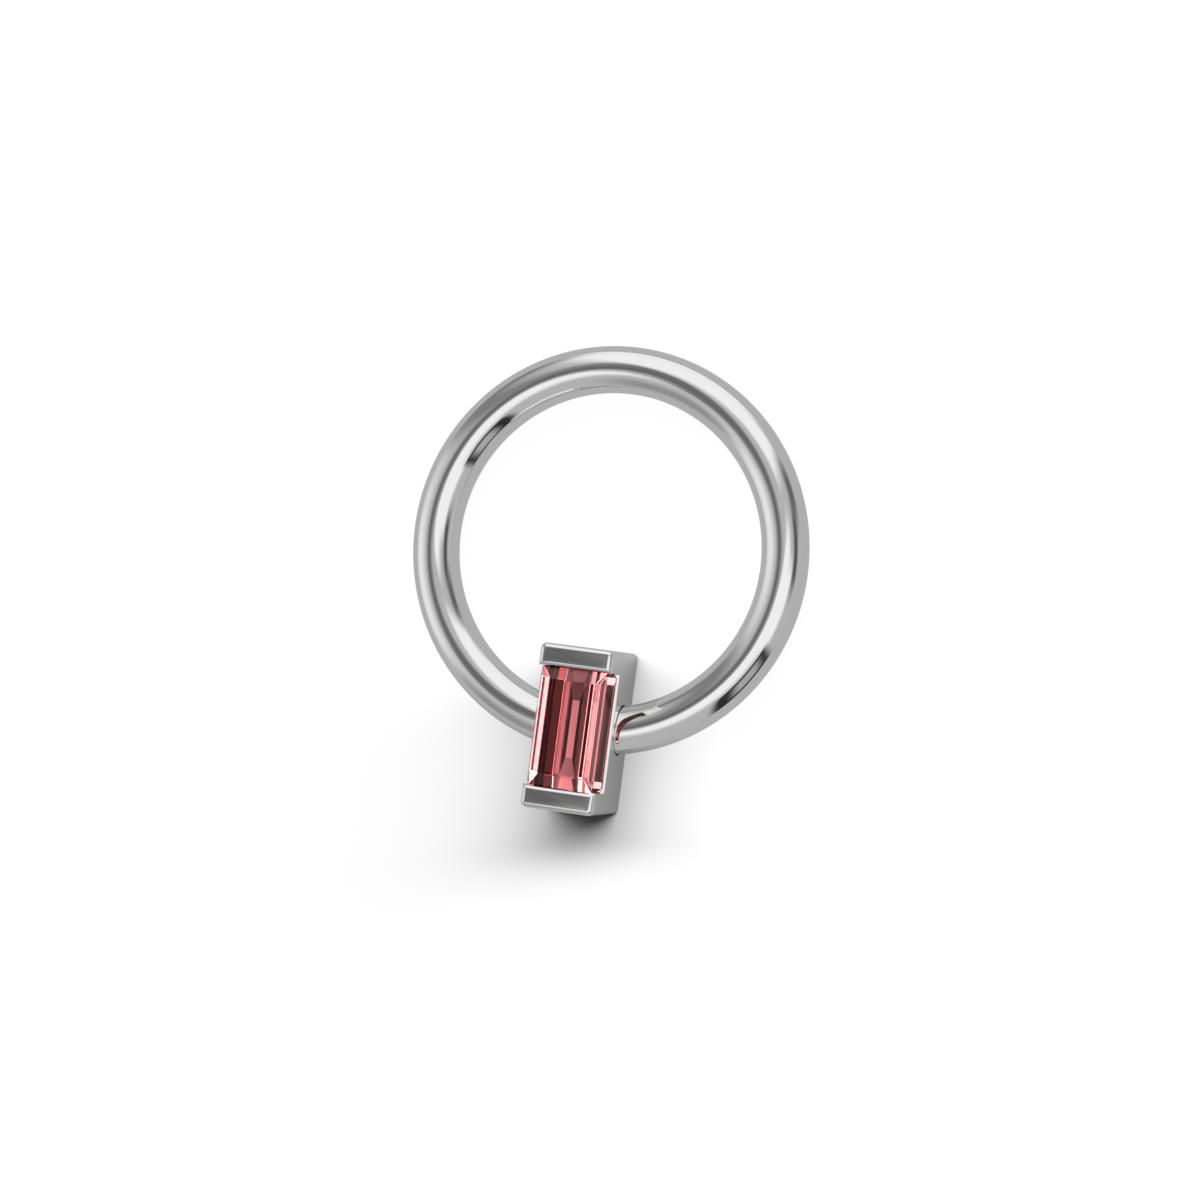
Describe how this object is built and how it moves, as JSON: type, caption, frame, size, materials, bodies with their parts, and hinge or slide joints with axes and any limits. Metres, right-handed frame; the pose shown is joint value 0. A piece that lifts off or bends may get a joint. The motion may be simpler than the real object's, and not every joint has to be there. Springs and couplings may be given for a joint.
{
  "type": "cubic zirconia captive ring",
  "caption": "Polished white metal captive hoop of round wire, closed by a bar-set block that holds a step-cut red baguette stone facing along the hoop's axis.",
  "frame": {"origin": "middle of the footprint, on the surface that the ring lies on", "axes": "+Z along the hoop's axis, the way the stone faces; +Y from the setting to the far side of the hoop; +X across the setting"},
  "size_m": [0.0104, 0.0118, 0.0025],
  "materials": {
    "hoop_metal": "mirror polished",
    "setting_metal": "polished",
    "red_stone": "polished facets"
  },
  "bodies": {
    "root": {"hoop": "hoop_metal", "setting": "setting_metal", "stone": "red_stone"}
  },
  "joints": []
}
